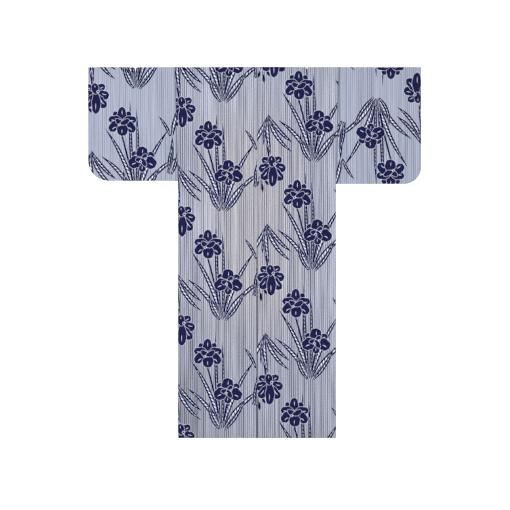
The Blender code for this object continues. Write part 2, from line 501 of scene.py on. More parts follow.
# %% [markdown]
# ## The blooms
#
# Three blooms repeat over the cloth: one seen from the side, one that faces the viewer and one
# that nods. Each is a short table with a row for each petal, laid from back to front, so the
# undyed line round each new petal cuts into the ones behind it. A table is quicker to change than
# a drawn outline, and the petals come out even, as a stencil cutter would make them.

# %% Irises
# Rows: direction in degrees, length, width, belly, bend, ruffle of the petal's edge
STANDING_IRIS = [(125, 54, 19, 1.2, 4, 0.08), (57, 53, 19, 1.2, -4, 0.08),
                 (90, 62, 25, 1.2, 2, 0.05), (166, 55, 22, 1.5, -6, 0.10),
                 (12, 56, 22, 1.5, 6, 0.10), (-146, 57, 26, 1.6, -8, 0.10),
                 (-38, 58, 26, 1.6, 8, 0.10), (-92, 50, 32, 1.5, 2, 0.08),
                 (150, 28, 12, 1.1, 3, 0.0), (28, 28, 12, 1.1, -3, 0.0)]
FACING_IRIS = [(28, 50, 22, 1.3, 3, 0.08), (148, 50, 22, 1.3, -3, 0.08),
               (266, 46, 22, 1.3, 2, 0.08), (88, 52, 34, 1.5, 3, 0.10),
               (204, 56, 35, 1.5, -5, 0.10), (332, 56, 35, 1.5, 5, 0.10),
               (58, 26, 11, 1.1, 0, 0.0), (176, 26, 11, 1.1, 0, 0.0), (298, 26, 11, 1.1, 0, 0.0)]
NODDING_IRIS = [(152, 46, 22, 1.3, -4, 0.08), (34, 44, 22, 1.3, 4, 0.08),
                (-166, 54, 27, 1.5, 7, 0.10), (-12, 54, 27, 1.5, -7, 0.10),
                (-128, 70, 26, 1.5, 8, 0.10), (-54, 72, 26, 1.5, -8, 0.10),
                (-90, 86, 25, 1.3, 3, 0.06), (96, 34, 20, 1.1, 0, 0.0)]
FULLER = 1.22                 # how much wider the petals are laid than the rows say
FILLED = 0.62                 # how far out the gaps between petals are dyed
HEART = 6.0                   # how far each petal's root lies behind the middle of the bloom
ROUND_TIP = 0.5
VEINED = 20.0                 # petals at least this wide have one pale vein
VEIN_WIDTH = 2.2
VEIN_FROM, VEIN_TO = 0.50, 0.86


def toward(angle, far, x=0.0, y=0.0):
    """The place this far off from x, y in a direction in degrees."""
    return x + math.cos(math.radians(angle)) * far, y + math.sin(math.radians(angle)) * far


def iris(rows):
    """A bloom about its middle, on a dyed ground that fills the gaps between its petals."""
    ordered = sorted(rows, key=lambda row: row[0] % 360)
    art = [(BLOOM, [toward(angle, length * FILLED) for angle, length, *_ in ordered])]
    for angle, length, width, belly, bend, ruffle in rows:
        root, tip = toward(angle, -HEART), toward(angle, length)
        art += inked(petal(root, tip, width * FULLER, belly, ROUND_TIP, bend, ruffle))
        if width >= VEINED:
            vein = toward(angle, length * VEIN_FROM), toward(angle, length * VEIN_TO)
            art.append((BARE, petal(*vein, VEIN_WIDTH, bend=bend * 0.3)))
    return art


def curl(x, y, size):
    """An undyed ring with a dot of dye in it, where a petal curls over."""
    ring = smooth_line([(x - size, y), (x, y + size), (x + size, y), (x, y - size)], closed=True)
    return [(BARE, ring), (LEAF, grown(ring, -size * 0.30))]


print("shapes in the standing iris:", len(iris(STANDING_IRIS)))

# %% [markdown]
# ## The leaves
#
# The leaves carry the eye up and down the cloth. Each starts somewhere in a given direction and
# bends over on its way, so a row of six numbers draws it. A fan of them grows from one root with
# two blooms among them; beside it some bent leaves come down from a peak over a nodding bloom.

# %% Leaves and the whole print
# Rows: start x and up, direction in degrees, length, bend in degrees, width
FAN = [(-2, 0, 112, 215, 34, 11.5), (2, 4, 103, 300, 22, 11.0), (0, 6, 97, 385, -8, 9.0),
       (5, 6, 86, 350, 8, 8.0), (9, 4, 76, 300, -22, 11.0), (13, 0, 62, 235, -34, 11.5),
       (-6, 0, 134, 120, -48, 9.0), (17, -4, 44, 150, 26, 9.5)]
SIDE_TUFT = [(132, 96, 74, 150, 18, 10.5), (138, 96, 96, 120, -30, 8.5),
             (146, 92, 60, 105, 32, 9.0), (150, 250, 84, 125, -18, 11.0),
             (142, 246, 108, 95, 24, 8.0)]
PEAK = [(-176, 186, -62, 150, 26, 10.0), (-178, 180, -76, 176, 40, 10.5),
        (-180, 176, -92, 150, 14, 10.5), (-184, 172, -108, 150, -24, 10.5),
        (-182, 178, -100, 118, 8, 7.5)]
FOOT_FIRST = [(0, 0.6), (0.3, 1.16), (0.7, 0.98), (1, 0.14)]
TIP_FIRST = [(0, 0.3), (0.35, 1.16), (0.75, 0.98), (1, 0.16)]
STALK = [(0, 1.0), (1, 0.7)]
LEAF_SPANS = 5
STANDING_PLACE = (-52, 300)
FACING_PLACE = (30, 150)
NODDING_PLACE = (-160, -16)
BUDS_PLACE = (-204, -50)
BUDS = ((-118, 46), (-94, 60), (-68, 44))   # direction and length of each stalk
BUD_WIDTH = 11


def leaf(x, up, angle, length, bend, width, taper, hatch=HATCH):
    """A leaf from its start, turning by bend on the way; taper gives shares of its width."""
    points = [(x, up)]
    for span in range(LEAF_SPANS):
        aim = angle + bend * (span + 0.5) / LEAF_SPANS
        points.append(toward(aim, length / LEAF_SPANS, *points[-1]))
    return blade(points, [(share, width * part) for share, part in taper], hatch)


def buds(x, up):
    """Three closed buds on thin stalks."""
    art = []
    for angle, length in BUDS:
        art += leaf(x, up, angle, length, 10, 2.6, STALK, hatch=0)
        root, tip = [toward(angle + 8, length * share, x, up) for share in (0.7, 1.3)]
        art.append((LEAF, petal(root, tip, BUD_WIDTH)))
    return art


def whole_print():
    """One repeat, about the root of its fan."""
    art = []
    for row in FAN + SIDE_TUFT:
        art += leaf(*row, FOOT_FIRST)
    for row in PEAK:
        art += leaf(*row, TIP_FIRST)
    art += leaf(0, 2, 98, 300, 10, 6.0, STALK, hatch=0)
    art += leaf(6, 2, 80, 150, -4, 6.0, STALK, hatch=0)
    art += moved(iris(FACING_IRIS), *FACING_PLACE) + curl(22, 144, 6.0) + curl(42, 156, 5.0)
    art += moved(iris(STANDING_IRIS), *STANDING_PLACE) + curl(-64, 292, 5.5)
    art += buds(*BUDS_PLACE)
    art += leaf(-182, 70, -78, 70, -8, 6.0, STALK, hatch=0)
    art += moved(iris(NODDING_IRIS), *NODDING_PLACE) + curl(-150, -14, 6.5)
    return art


PRINT = [(tone, thinned(outline)) for tone, outline in whole_print()]
print("print:", len(PRINT), "shapes,", sum(len(outline) for _, outline in PRINT), "points")

# %% [markdown]
# ## Where each panel lies
#
# These are the garment's own measures, in millimetres, the same ones that the CAD model is built
# from. x runs from the centre back seam, y up from the hem. The fronts overlap, so the layers are
# stacked three deep in the middle and two deep at the sides, and the back comes down a little
# toward the side seams.

# %% Measures of the garment
MM = 0.001
LENGTH = 1500.0
FRONT_HEM_RISE = 2.0
OKUMI_TIP_DROP = 230.0        # okumi: the half width sewn to each front
COLLAR_END = 730.0
SLEEVE_DROP = {"left": 460.5, "right": 473.0}
SHOULDER_HALF = 332.0
BACK_HALF = 319.5
SLEEVE_REACH = {"left": 683.0, "right": 663.0}
FRONT_WIDTH = 260.0
OVERLAP = 91.0
NECK_HALF = 90.0
COLLAR_WIDTH_NECK = 55.0
COLLAR_WIDTH_END = 75.0
SLEEVE_CORNER = {"left": 84.0, "right": 69.0}
CLOTH = 1.1
COLLAR_THICK = 1.6
SEAM_GAP = 0.3
INNER_FRONT = COLLAR_THICK + SEAM_GAP
BACK_OVER_SIDES = CLOTH + SEAM_GAP
BACK_OVER_MIDDLE = INNER_FRONT + COLLAR_THICK + SEAM_GAP
PLATEAU = 170.0
LOW_FROM = 200.0
SIGN = {"left": -1.0, "right": 1.0}
ROW_SHIFT = (10.0, -750.0)    # from pattern places to the frame's own


def ease(value):
    """A soft step from 0 to 1, for numbers and for whole arrays."""
    value = np.clip(value, 0.0, 1.0)
    return value * value * (3.0 - 2.0 * value)


def over_fronts(out):
    return ease((LOW_FROM - np.abs(out)) / (LOW_FROM - PLATEAU))


def front_height(side, out):
    return (0.0 if side == "left" else INNER_FRONT) * over_fronts(out)


def back_height(out):
    return BACK_OVER_SIDES + (BACK_OVER_MIDDLE - BACK_OVER_SIDES) * over_fronts(out)


def side_edge(side, y):
    along = min(max((LENGTH - y) / SLEEVE_DROP[side], 0.0), 1.0)
    return SHOULDER_HALF + (BACK_HALF - SHOULDER_HALF) * along


def collar_seam(y):
    """Where the collar is sewn on, as a distance out from the centre."""
    tip = LENGTH - OKUMI_TIP_DROP
    tip_out = BACK_HALF - FRONT_WIDTH
    upper = (NECK_HALF - tip_out) / (LENGTH - tip)
    lower = (tip_out + OVERLAP) / (tip - COLLAR_END)
    bend = (upper - lower) / (LENGTH - COLLAR_END)
    return NECK_HALF + upper * (y - LENGTH) + bend * (y - LENGTH) * (y - tip)


def front_inner_edge(y):
    return max(BACK_HALF - FRONT_WIDTH, collar_seam(y)) + SEAM_GAP / 2


print("back stands", BACK_OVER_MIDDLE + CLOTH, "mm high in the middle")

# %% [markdown]
# ## Creases
#
# A robe that has been folded away and then spread out keeps a few sharp cross creases from the
# folding, and a great many long, soft folds along the length, where the bolt was hung to dry. A
# cloth simulation would pull all of this flat, because nothing pushes a spread garment out of
# shape. So the folds are placed one by one: each is a line on the garment with a height, a width
# and an uneven run, and a few slow waves lie under them. All layers share one field of heights, the
# lower ones with less of it, so no layer cuts through another and folds pass across the seams.

# %% Field of heights
RESTING = 1.15                # mean lift of the back, millimetres
EDGE_FADE = 26.0              # the lift starts this far inside the garment's own outline

# Each fold: start x, y, end x, y, height, half width
CROSS_CREASES = [
    (-312, 702, -40, 709, -0.75, 4.5), (24, 716, 305, 708, -0.80, 5.0),
    (70, 470, 308, 474, -0.75, 4.5), (-300, 478, -190, 473, -0.40, 5.0),
    (-310, 188, -28, 184, -0.75, 5.0), (30, 190, 310, 186, -0.95, 4.5),
    (-250, 950, -60, 944, -0.30, 5.5), (80, 1180, 300, 1172, -0.28, 6.0),
    (-640, 1262, -380, 1256, -0.32, 6.0), (370, 1268, 640, 1262, -0.35, 6.0),
]
LONG_FOLDS = [
    (-286, 60, -272, 860, 0.55, 14), (-252, 420, -244, 1380, -0.45, 12),
    (-216, 30, -226, 640, 0.50, 16), (-196, 700, -188, 1460, 0.50, 13),
    (-168, 120, -158, 900, -0.55, 11), (-140, 640, -128, 1440, 0.45, 12),
    (-112, 40, -120, 560, 0.60, 15), (-92, 520, -84, 1330, -0.50, 10),
    (-62, 80, -58, 720, -0.45, 12), (-50, 760, -44, 1470, 0.55, 12),
    (-24, 700, -20, 1240, -0.40, 9), (22, 90, 30, 780, 0.55, 13),
    (38, 820, 46, 1440, -0.50, 11), (66, 40, 58, 520, -0.50, 12),
    (82, 560, 92, 1460, 0.55, 13), (112, 120, 104, 700, 0.50, 14),
    (126, 760, 136, 1400, -0.50, 12), (152, 30, 160, 640, -0.50, 13),
    (176, 640, 186, 1420, 0.50, 12), (204, 80, 196, 760, 0.50, 15),
    (236, 560, 228, 1260, -0.55, 12), (262, 60, 256, 700, -0.45, 12),
    (286, 480, 276, 1440, 0.50, 13), (-368, 1090, -372, 1470, 0.55, 12),
    (-404, 1060, -398, 1440, -0.55, 12), (-446, 1080, -458, 1450, 0.60, 15),
    (-492, 1050, -500, 1400, -0.50, 13), (-540, 1060, -530, 1470, 0.60, 14),
    (-584, 1110, -590, 1380, -0.45, 13), (-634, 1120, -626, 1450, 0.55, 14),
    (366, 1050, 372, 1440, -0.60, 13), (404, 1070, 410, 1470, 0.55, 13),
    (450, 1040, 440, 1380, -0.50, 14), (486, 1060, 498, 1460, 0.55, 15),
    (534, 1080, 528, 1400, -0.50, 12), (576, 1050, 566, 1300, 0.50, 14),
]
SLANTED_FOLDS = [
    (-104, 978, 36, 1046, 0.85, 9), (-96, 958, 20, 1008, -0.60, 9),
    (-60, 1120, 60, 1164, 0.50, 10), (594, 1120, 652, 1286, -1.10, 16),
    (560, 1090, 620, 1240, 0.70, 17), (352, 1090, 420, 1240, -0.55, 15),
    (-340, 1150, -420, 1300, -0.55, 15), (-600, 1060, -520, 1150, 0.70, 17),
    (-300, 980, -210, 1090, 0.50, 15), (300, 1010, 214, 1130, -0.50, 14),
    (-300, 40, -210, 160, -0.50, 16), (120, 30, 230, 120, 0.45, 16),
]
waves = random.Random(41)
SLOW_WAVES = [
    (waves.uniform(0.010, 0.030), waves.uniform(-0.007, 0.007), waves.uniform(0, 6.28),
     waves.uniform(0.06, 0.13)) for _ in range(9)]


def inside_outline(x, y):
    """Distance in from the garment's own outline, with the seams between panels left out."""
    drop = np.where(x < 0, SLEEVE_DROP["left"], SLEEVE_DROP["right"])
    reach = np.where(x < 0, SLEEVE_REACH["left"], SLEEVE_REACH["right"])
    top = LENGTH - y
    body = np.minimum(np.minimum(BACK_HALF - np.abs(x), y), top)
    band = np.minimum(np.minimum(reach - np.abs(x), y - (LENGTH - drop)), top)
    return np.maximum(body, band)


def fold_heights(x, y, folds):
    """Sum of soft ridges and troughs, each with an uneven run and tapered ends."""
    total = np.zeros_like(x)
    for number, (x0, y0, x1, y1, height, width) in enumerate(folds):
        dx, dy = x1 - x0, y1 - y0
        size = math.hypot(dx, dy)
        along = ((x - x0) * dx + (y - y0) * dy) / size
        across = ((y - y0) * dx - (x - x0) * dy) / size
        share = along / size
        across = across + width * 0.45 * np.sin(share * 7.0 + number)
        uneven = 0.72 + 0.28 * np.sin(share * 11.0 + number * 1.7)
        ends = ease(share / 0.16) * ease((1.0 - share) / 0.22)
        total += height * uneven * ends * np.exp(-(across / width) ** 2)
    return total


def lift(x, y):
    """Height of the back above the CAD panel, in millimetres, never below 0."""
    x = np.asarray(x, float)
    y = np.asarray(y, float)
    relief = fold_heights(x, y, CROSS_CREASES + LONG_FOLDS + SLANTED_FOLDS)
    for across, up, phase, height in SLOW_WAVES:
        relief = relief + height * np.sin(x * across * 2 + y * up + phase)
    fade = ease(inside_outline(x, y) / EDGE_FADE)
    return fade * np.maximum(RESTING + relief, 0.05)


sample = lift(*np.meshgrid(np.linspace(-300, 300, 61), np.linspace(20, 1480, 147)))
print("lift from", round(float(sample.min()), 2), "to", round(float(sample.max()), 2), "mm")

# %% [markdown]
# ## Cutting the cloth along the print
#
# Each panel is first laid out flat, as on the cutting table: x across the bolt and up along it,
# with the shoulder fold at 0, the back below it and the front beyond it. A constrained Delaunay
# triangulation takes the panel's outline, an even lattice of points for the folds, and the outline
# of every printed shape. Each triangle then lies wholly inside or outside each shape and gets one
# tone. The alternative is a mask in the material, made of hundreds of small formulas, or one vertex
# colour on a mesh fine enough to hide its own steps. The cut mesh is lighter and sharper than both.

# %% Triangulated cloth
LATTICE = 7.0                 # spacing of the points where the cloth is seen
LATTICE_HIDDEN = 13.0
EDGE_STEPS = (1.1, 2.4, 4.0)  # extra points that round the rolled edges
ROLL_WIDTH = 4.2
ROLL_DEPTH = 0.55
SHELL = 0.9                   # thickness of the shell


def even(start, end, step):
    """Evenly spaced values from start to end, about step apart."""
    count = max(1, round(abs(end - start) / step))
    return [start + (end - start) * k / count for k in range(count + 1)]


def lattice_points(rows, spacing):
    """Points inside the panel. Each row is (up, left end, right end)."""
    points = []
    for number, (up, left, right) in enumerate(rows[1:-1]):
        step = spacing(up)
        for inset in EDGE_STEPS:
            points += [(left + inset, up), (right - inset, up)]
        margin = EDGE_STEPS[-1] + step * 0.6
        if right - left < 2 * margin + step:
            continue
        inner = even(left + margin, right - margin, step)
        shift = (inner[1] - inner[0]) * 0.5 if number % 2 else 0.0
        points += [(x + shift, up) for x in inner if x + shift < right - margin * 0.6]
    return points


def outline_of(rows):
    """The rows' right ends going up, then their left ends coming down, without repeats."""
    ring = [(right, up) for up, _, right in rows] + [(left, up) for up, left, _ in rows[::-1]]
    return [point for i, point in enumerate(ring)
            if math.dist(point, ring[i - 1]) > 0.02]


def placed_print(feet, box):
    """The print's shapes on the flat panel, from the feet of its clumps."""
    low_x, low_up, high_x, high_up = box
    placed = []
    for foot_x, foot_up, turn in feet:
        for tone, outline in PRINT:
            spots = [(foot_x + x * turn, foot_up + y * turn) for x, y in outline]
            xs, ups = zip(*spots)
            if max(xs) > low_x and min(xs) < high_x and max(ups) > low_up and min(ups) < high_up:
                placed.append((tone, spots))
    return placed


def repeated(foot_x, foot_up, turn, low, high, drift=0.0):
    """Feet of the clumps that reach between low and high; drift moves each one across."""
    first = math.floor((low - foot_up) / REPEAT) - 1
    last = math.ceil((high - foot_up) / REPEAT) + 1
    return [(foot_x + drift * k, foot_up + REPEAT * k, turn) for k in range(first, last + 1)]


def winding(points, outline):
    """How often an outline goes round each of the points."""
    x, y = points[:, 0], points[:, 1]
    turns = np.zeros(len(points), int)
    ring = np.array(outline)
    for (ax, ay), (bx, by) in zip(ring, np.roll(ring, -1, axis=0)):
        side = (bx - ax) * (y - ay) - (x - ax) * (by - ay)
        turns += ((ay <= y) & (by > y) & (side > 0)).astype(int)
        turns -= ((ay > y) & (by <= y) & (side < 0)).astype(int)
    return turns


def edge_distance(points, outline):
    """Distance from each point to the panel's outline."""
    ring = np.array(outline)
    best = np.full(len(points), 1e9)
    for a, b in zip(ring, np.roll(ring, -1, axis=0)):
        span = b - a
        share = np.clip(((points - a) @ span) / max(span @ span, 1e-9), 0, 1)
        gap = np.hypot(*(points - a - share[:, None] * span).T)
        best = np.minimum(best, gap)
    return best


def placed_piece(name, mesh, material):
    """Put a mesh into the scene in one material."""
    mesh.materials.append(material)
    piece = bpy.data.objects.new(name, mesh)
    scene.collection.objects.link(piece)
    return piece


def cut_panel(rows, feet, spacing):
    """Points, triangles and tones of a flat panel with the print cut into it."""
    outline = outline_of(rows)
    xs, ups = zip(*outline)
    shapes = placed_print(feet, (min(xs), min(ups), max(xs), max(ups)))
    points = list(outline)
    edges = [(i, (i + 1) % len(outline)) for i in range(len(outline))]
    for _, ring in shapes:
        first = len(points)
        points += ring
        edges += [(first + i, first + (i + 1) % len(ring)) for i in range(len(ring))]
    points += lattice_points(rows, spacing)
    made = delaunay_2d_cdt([Vector(p) for p in points], edges, [], 0, 0.01, False)
    flat = np.array([tuple(p) for p in made[0]])
    triangles = np.array([tuple(face) for face in made[2]])
    corners = flat[triangles]
    a, b, c = corners[:, 0], corners[:, 1], corners[:, 2]
    area = (b[:, 0] - a[:, 0]) * (c[:, 1] - a[:, 1]) - (b[:, 1] - a[:, 1]) * (c[:, 0] - a[:, 0])
    triangles[area < 0] = triangles[area < 0][:, ::-1]
    centres = corners.mean(axis=1)
    kept = (winding(centres, outline) != 0) & (np.abs(area) > 1e-4)
    triangles, centres = triangles[kept], centres[kept]
    tones = np.zeros(len(triangles), int)
    for tone, ring in shapes:
        low, high = np.min(ring, axis=0), np.max(ring, axis=0)
        near = np.flatnonzero(((centres > low) & (centres < high)).all(axis=1))
        if len(near):
            tones[near[winding(centres[near], ring) != 0]] = tone
    used, triangles = np.unique(triangles, return_inverse=True)
    return flat[used], triangles.reshape(-1, 3), tones, outline


def cloth_piece(name, rows, feet, spacing, place, thickness=SHELL, flip=False):
    """A panel of cloth as a thin closed shell, laid where place(x, up, edge) says."""
    flat, triangles, tones, outline = cut_panel(rows, feet, spacing)
    edge = edge_distance(flat, outline)
    x, y, z = place(flat[:, 0], flat[:, 1], edge)
    spots = np.stack([(x + ROW_SHIFT[0]) * MM, (y + ROW_SHIFT[1]) * MM, z * MM], axis=1)
    if flip:
        triangles = triangles[:, ::-1]
    mesh = bpy.data.meshes.new(name)
    mesh.from_pydata(spots.tolist(), [], triangles.tolist())
    mesh.validate()
    mesh.polygons.foreach_set("use_smooth", [True] * len(mesh.polygons))
    cloth = mesh.attributes.new("cloth", "FLOAT_VECTOR", "POINT")
    cloth.data.foreach_set("vector", np.column_stack([flat, edge]).astype(np.float32).ravel())
    dye = mesh.attributes.new("dye", "FLOAT_VECTOR", "FACE")
    masks = np.column_stack([(tones == BLOOM) | (tones == LEAF), tones == BARE, tones == LEAF])
    dye.data.foreach_set("vector", masks.astype(np.float32).ravel())
    piece = placed_piece(name, mesh, COTTON)
    shell = piece.modifiers.new("shell", "SOLIDIFY")
    shell.thickness = thickness * MM
    shell.offset = -1.0
    ring = np.array(outline)
    after = np.roll(ring, -1, axis=0)
    area = abs(np.sum(ring[:, 0] * after[:, 1] - after[:, 0] * ring[:, 1])) / 2 * MM * MM
    print(name, len(triangles), "triangles in one skin,", round(area, 4), "m2 flat")
    return piece, area


# %% [markdown]
# ## Body panels
#
# A body panel is one length of cloth: back, shoulder fold, front. The fold is a half round whose
# radius is half the height between the layers. At the neck the fold is slit, so the back has a
# straight upper edge there and the front is cut away along the collar. Edges that are sewn or
# folded under roll in slightly, which draws a seam as a soft groove; the fine dark line along it
# is painted shadow in the cotton's colour.

# %% Body panels
FOLD_ROWS = [-3.9, -2.6, -1.3, 0.0, 1.3, 2.6, 3.9]
FOLD_EXTRA = math.pi / 2 - 1.0   # a half round takes this many radii more cloth than a square end
LAYER_SHARE = {"back": 1.0, "right": 0.55, "left": 0.30}   # of the lift, for each layer
HEM_EXTRA = 0.7               # a hem is cut this much longer, for the shoulder fold
HEM_CLEAR = 8.0               # the even rows stop this far from a hem


def wrapped(x, up, low, high, slit):
    """y, z and the turn of cloth that goes round the shoulder fold."""
    radius = (high - low) / 2
    turn = np.clip(-up / radius, -math.pi / 2, math.pi / 2)
    beyond = np.maximum(np.abs(up) - radius * math.pi / 2, 0.0)
    y = LENGTH - radius + radius * np.cos(turn) - beyond
    z = low + radius + radius * np.sin(turn)
    y = np.where(slit, np.minimum(LENGTH + FOLD_EXTRA * radius + up, LENGTH), y)
    z = np.where(slit, high, z)
    turn = np.where(slit, math.pi / 2, turn)
    return y, z, turn


def settle(x, y, z, turn, edge, share_below):
    """Add the shared lift and roll the edges in."""
    on_back = (1.0 + np.sin(turn)) / 2
    share = share_below + (LAYER_SHARE["back"] - share_below) * on_back
    roll = ROLL_DEPTH * (1.0 - ease(edge / ROLL_WIDTH)) * np.sin(turn)
    return z + share * lift(x, y) - roll


def body_place(side):
    def place(x, up, edge):
        slit = (np.abs(x) < NECK_HALF - 0.01) & (up < 0)
        low = front_height(side, x)
        high = back_height(x) + CLOTH
        y, z, turn = wrapped(x, up, low, high, slit)
        return x, y, settle(x, y, z, turn, edge, LAYER_SHARE[side])
    return place


def ends(side, near, far):
    """Left and right end of a row from its distances out."""
    return (-far, -near) if side == "left" else (near, far)


def body_rows(side):
    radius = (BACK_OVER_MIDDLE + CLOTH - front_height(side, 0.0)) / 2
    slit = -FOLD_EXTRA * radius
    back_hem = -LENGTH - HEM_EXTRA
    front_hem = LENGTH - FRONT_HEM_RISE + HEM_EXTRA
    hem_ups = [back_hem] + [back_hem + inset for inset in EDGE_STEPS]
    ups = hem_ups + even(back_hem + HEM_CLEAR, FOLD_ROWS[0] - 5.0, LATTICE)
    ups += FOLD_ROWS[:2] + [slit]
    rows = [(up, *ends(side, SEAM_GAP / 2, side_edge(side, LENGTH + up))) for up in ups]
    front_ups = FOLD_ROWS[3:] + even(FOLD_ROWS[-1] + 6.0, front_hem - HEM_CLEAR, LATTICE_HIDDEN)
    front_ups += [front_hem - inset for inset in EDGE_STEPS[::-1]] + [front_hem]
    rows.append((slit + 0.05, *ends(side, NECK_HALF, side_edge(side, LENGTH))))
    for up in front_ups:
        y = LENGTH - up
        rows.append((up, *ends(side, front_inner_edge(y), side_edge(side, y))))
    return rows


def body_spacing(up):
    return LATTICE if up < 0 else LATTICE_HIDDEN


BODY_FEET = {"left": (-143.9, -582.3, 1.0), "right": (215.5, -820.9, 1.0)}
BODY_DRIFT = {"left": 1.5, "right": 6.0}   # the panels were cut a little off the print's line
pieces = {}
for side in SIGN:
    feet = repeated(*BODY_FEET[side], -LENGTH, LENGTH, BODY_DRIFT[side])
    pieces["body_" + side] = cloth_piece(
        side + "_body_cloth", body_rows(side), feet, body_spacing, body_place(side))

# %% [markdown]
# ## Sleeves
#
# A sleeve is a square of doubled cloth with its fold at the shoulder line and a round lower outer
# corner. Its print on the right sleeve is upside down, because a bolt with a one-way print is
# turned over halfway through the cutting.

# %% Sleeves
SLEEVE_FEET = {"left": (-492.5, -86.5, 1.0), "right": (488.0, -127.0, -1.0)}


def sleeve_place(side):
    def place(x, up, edge):
        y, z, turn = wrapped(x, up, 0.0 * x, 0.0 * x + BACK_OVER_SIDES + CLOTH, x > 1e9)
        return x, y, settle(x, y, z, turn, edge, LAYER_SHARE["left"])
    return place


def sleeve_rows(side):
    bottom = LENGTH - SLEEVE_DROP[side]
    reach = SLEEVE_REACH[side]
    radius = SLEEVE_CORNER[side]
    corner = [bottom + radius * (1.0 - math.cos(math.radians(a))) for a in range(0, 91, 6)]
    extra = FOLD_EXTRA * (BACK_OVER_SIDES + CLOTH) / 2

    def row(up):
        y = LENGTH + extra - abs(up) if abs(up) > 4 else LENGTH - abs(up)
        y = max(y, bottom)
        into = max(bottom + radius - y, 0.0)
        outer = reach - radius + math.sqrt(max(radius ** 2 - into ** 2, 0.0))
        return (up, *ends(side, side_edge(side, y) + SEAM_GAP, outer))

    downs = [LENGTH + extra - y for y in corner]
    downs += even(downs[-1], 10.0, LATTICE)[1:]
    ups = [-down for down in downs] + FOLD_ROWS + downs[::-1]
    return [row(up) for up in ups]


for side in SIGN:
    feet = repeated(*SLEEVE_FEET[side], -SLEEVE_DROP[side], SLEEVE_DROP[side])
    pieces["sleeve_" + side] = cloth_piece(
        side + "_sleeve_cloth", sleeve_rows(side), feet, lambda up: LATTICE, sleeve_place(side))

# %% [markdown]
# ## Overlap panels
#
# Each front is widened by half a width of cloth, straight below the collar's end and cut along
# the collar seam above it. They face the floor here, so they are seen only from below or through
# a lifted hem, but they carry the same print and the same edges as the rest.

# %% Overlap panels
OVERLAP_FEET = {"left": (60.0, 980.0, -1.0), "right": (-70.0, 760.0, -1.0)}


def overlap_place(side):
    seam = BACK_HALF - FRONT_WIDTH

    def place(x, up, edge):
        y = LENGTH - up
        z = front_height(side, seam) + ROLL_DEPTH * 0.6 * (1.0 - ease(edge / ROLL_WIDTH))
        return x, y, z + LAYER_SHARE[side] * lift(x, y)
    return place


def overlap_rows(side):
    seam = BACK_HALF - FRONT_WIDTH - SEAM_GAP / 2
    top = OKUMI_TIP_DROP + 6.0
    hem = LENGTH - FRONT_HEM_RISE
    ups = even(top, LENGTH - COLLAR_END, LATTICE_HIDDEN)
    ups += even(LENGTH - COLLAR_END, hem - HEM_CLEAR, LATTICE_HIDDEN)[1:]
    ups += [hem - inset for inset in EDGE_STEPS[::-1]] + [hem]
    rows = []
    for up in ups:
        y = LENGTH - up
        free = -OVERLAP if y <= COLLAR_END else collar_seam(y) + SEAM_GAP / 2
        rows.append((up, *ends(side, free, seam)))
    return rows


for side in SIGN:
    feet = repeated(*OVERLAP_FEET[side], 0.0, LENGTH)
    pieces["okumi_" + side] = cloth_piece(
        side + "_overlap_cloth", overlap_rows(side), feet, lambda up: LATTICE_HIDDEN,
        overlap_place(side))

# %% [markdown]
# ## Collar
#
# The collar is one long band, folded four layers thick, so it is a thicker shell. It is laid out
# straight, from one lower end to the other, and then bent round the neck through stations: at
# each one the band has a point on the seam, a point on its free edge and a height. The outermost
# leg drops to the floor below the neck, because the other front lies on top of it.

# %% Collar
def collar_leg(side):
    stations = []
    settle_from = LENGTH - 75.0
    settle_to = LENGTH - 190.0
    for y in even(settle_from, COLLAR_END, 20.0):
        width = COLLAR_WIDTH_NECK + (COLLAR_WIDTH_END - COLLAR_WIDTH_NECK) * float(
            ease((LENGTH - y) / (LENGTH - COLLAR_END)))
        slope = (collar_seam(y + 1.0) - collar_seam(y - 1.0)) / 2.0
        scale = 1.0 / math.hypot(1.0, slope)
        seam_out = collar_seam(y) - SEAM_GAP / 2
        free_out, free_y = seam_out - width * scale, y + width * slope * scale
        height = INNER_FRONT
        if side == "left":
            height *= float(ease((y - settle_to) / (settle_from - settle_to)))
        sign = SIGN[side]
        stations.append((sign * seam_out, y, sign * free_out, free_y, height))
    out = NECK_HALF - SEAM_GAP / 2
    corner = (SIGN[side] * out, LENGTH - SEAM_GAP, SIGN[side] * (out - COLLAR_WIDTH_NECK),
              LENGTH - COLLAR_WIDTH_NECK, INNER_FRONT)
    return [corner] + stations


def collar_stations():
    left, right = collar_leg("left"), collar_leg("right")
    start, stop = np.array(left[0]), np.array(right[0])
    neck = [tuple(start + (stop - start) * share) for share in (0.25, 0.5, 0.75)]
    stations = np.array(left[::-1] + neck + right)
    middle = (stations[:, 0:2] + stations[:, 2:4]) / 2
    steps = np.hypot(*np.diff(middle, axis=0).T)
    return stations, np.concatenate([[0.0], np.cumsum(steps)])


STATIONS, STATION_UPS = collar_stations()
STATION_WIDTHS = np.hypot(STATIONS[:, 2] - STATIONS[:, 0], STATIONS[:, 3] - STATIONS[:, 1])


def collar_place(x, up, edge):
    columns = [np.interp(up, STATION_UPS, STATIONS[:, k]) for k in range(5)]
    seam_x, seam_y, free_x, free_y, height = columns
    share = x / np.interp(up, STATION_UPS, STATION_WIDTHS)
    spot_x = seam_x + (free_x - seam_x) * share
    spot_y = seam_y + (free_y - seam_y) * share
    under = LAYER_SHARE["left"] + (LAYER_SHARE["right"] - LAYER_SHARE["left"]) * ease(
        (up / STATION_UPS[-1] - 0.35) / 0.2)
    z = height + under * lift(spot_x, spot_y) + 0.35 * (1.0 - ease(edge / ROLL_WIDTH))
    return spot_x, spot_y, z


def collar_rows():
    ups = sorted(set(even(0.0, float(STATION_UPS[-1]), LATTICE_HIDDEN)) | set(STATION_UPS.tolist()))
    return [(up, 0.0, float(np.interp(up, STATION_UPS, STATION_WIDTHS))) for up in ups]


